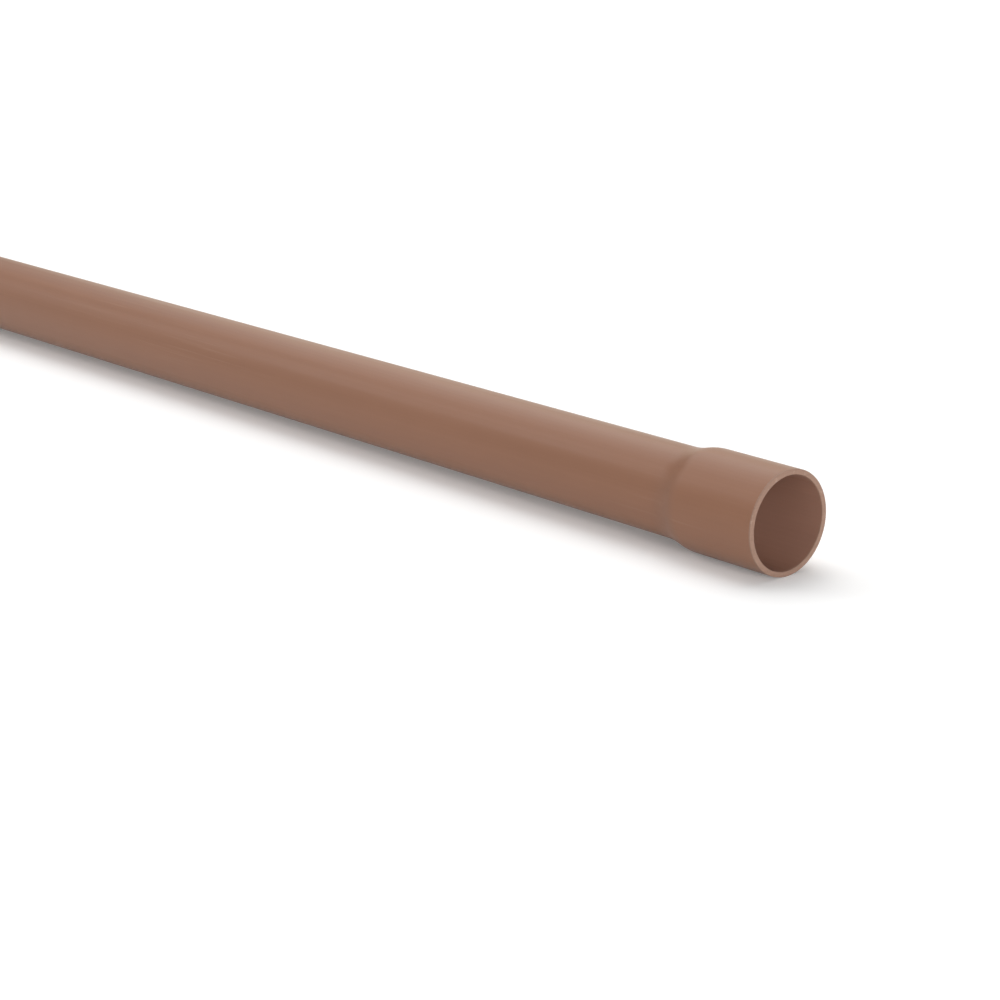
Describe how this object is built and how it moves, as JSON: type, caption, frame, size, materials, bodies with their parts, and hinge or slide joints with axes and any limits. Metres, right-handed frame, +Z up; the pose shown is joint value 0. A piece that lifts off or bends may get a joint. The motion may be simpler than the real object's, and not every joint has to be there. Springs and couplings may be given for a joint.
{
  "type": "pvc water pipe",
  "caption": "Straight brown PVC cold-water pressure pipe with a solvent-weld socket formed on one end and a plain spigot on the other.",
  "frame": {"origin": "on the pipe's axis, at the centre of the socket's mouth", "axes": "+X along the pipe's axis, out of the socket's mouth; the plain end lies towards -X; +Z up with the pipe lying on a level floor"},
  "size_m": [3, 0.028, 0.0282],
  "materials": {
    "brown_pvc": "satin"
  },
  "bodies": {
    "root": {"pipe": "brown_pvc"}
  },
  "joints": []
}
